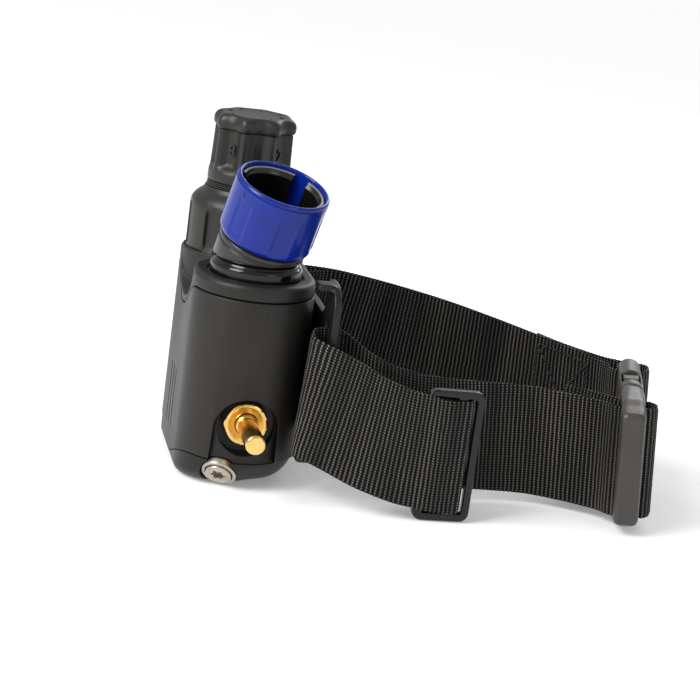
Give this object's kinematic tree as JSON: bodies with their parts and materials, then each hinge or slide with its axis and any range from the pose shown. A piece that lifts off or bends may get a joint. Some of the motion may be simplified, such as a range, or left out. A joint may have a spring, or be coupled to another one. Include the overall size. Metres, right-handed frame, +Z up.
{
  "type": "breathing air regulator",
  "caption": "Belt-worn breathing air regulator with a flow knob, a swivelling bayonet outlet, a brass plug-in inlet and an adjustable webbing waist belt with a buckle.",
  "frame": {"origin": "centre of the bounding box's underside", "axes": "+Z up along the two columns of the housing; +X towards the brass inlet; the belt lies behind the housing, towards +Y"},
  "size_m": [0.1398, 0.2252, 0.1514],
  "materials": {
    "charcoal_plastic": "fine grained",
    "base_plastic": "satin",
    "soft_black_plastic": "satin",
    "gloss_black_plastic": "polished",
    "blue_plastic": "glossy",
    "brass": "turned, bright",
    "stainless_steel": "satin turned",
    "seal_rubber": "matte",
    "black_webbing": "ribbed polyester webbing",
    "buckle_plastic": "satin moulded",
    "filter_medium": "pleated filter paper"
  },
  "bodies": {
    "regulator": {"belt_plate": "base_plastic", "buckle_male": "buckle_plastic", "detent_ring": "base_plastic", "drain_plug": "stainless_steel", "drain_plug_washer": "stainless_steel", "filter_cartridge": "filter_medium", "filter_screen": "base_plastic", "flow_gland": "soft_black_plastic", "housing_shell": "charcoal_plastic", "inlet_nut": "brass", "inlet_stem": "brass", "inlet_washer": "seal_rubber", "inner_body": "base_plastic", "outlet_seal": "seal_rubber", "plate_screw_1": "stainless_steel", "plate_screw_2": "stainless_steel", "poppet_seat": "stainless_steel", "poppet_spring": "stainless_steel", "strap_adjuster": "black_webbing", "strap_far": "black_webbing", "strap_near": "black_webbing", "strap_slider": "gloss_black_plastic", "top_cover": "charcoal_plastic"},
    "knob": {"flow_knob": "soft_black_plastic", "knob_cap": "soft_black_plastic", "valve_spindle": "stainless_steel"},
    "valve": {"valve_poppet": "stainless_steel"},
    "outlet": {"outlet_base": "gloss_black_plastic", "outlet_elbow": "base_plastic", "bayonet_sleeve": "base_plastic"},
    "collar": {"locking_collar": "blue_plastic"},
    "prong_upper": {"buckle_prong_upper": "buckle_plastic"},
    "prong_lower": {"buckle_prong_lower": "buckle_plastic"},
    "belt_end": {"buckle_female": "buckle_plastic", "strap_far_fold": "black_webbing"}
  },
  "joints": [
    {"name": "knob_turn", "type": "hinge", "parent": "regulator", "child": "knob", "pos_m": [-0.03098, -0.08615, 0.132], "axis": [0, 0, 1], "range_deg": [0, 270]},
    {"name": "valve_lift", "type": "slide", "parent": "regulator", "child": "valve", "axis": [0, 0, 1], "range_m": [0, 0.0042], "deforming": ["poppet_spring"]},
    {"name": "outlet_swivel", "type": "hinge", "parent": "regulator", "child": "outlet", "pos_m": [0.01562, -0.08615, 0.095], "axis": [0, 0, 1], "range_deg": [-130, 70]},
    {"name": "collar_turn", "type": "hinge", "parent": "outlet", "child": "collar", "pos_m": [0.02111, -0.08252, 0.11814], "axis": [0.2616, 0.1731, 0.9495], "range_deg": [0, 40]},
    {"name": "prong_upper_squeeze", "type": "hinge", "parent": "regulator", "child": "prong_upper", "pos_m": [0.03325, 0.08589, 0.04255], "axis": [-0.2889, -0.9534, -0.0872], "range_deg": [0, 7], "stiffness_Nm_per_rad": 1.5},
    {"name": "prong_lower_squeeze", "type": "hinge", "parent": "regulator", "child": "prong_lower", "pos_m": [0.0339, 0.08806, 0.01665], "axis": [0.2889, 0.9534, 0.0872], "range_deg": [0, 7], "stiffness_Nm_per_rad": 1.5},
    {"name": "buckle_release", "type": "slide", "parent": "regulator", "child": "belt_end", "axis": [-0.957, 0.29, 0], "range_m": [0, 0.026]}
  ],
  "couplings": [
    {"joint": "valve_lift", "follows": "knob_turn", "m_per_rad": 0.00085}
  ]
}
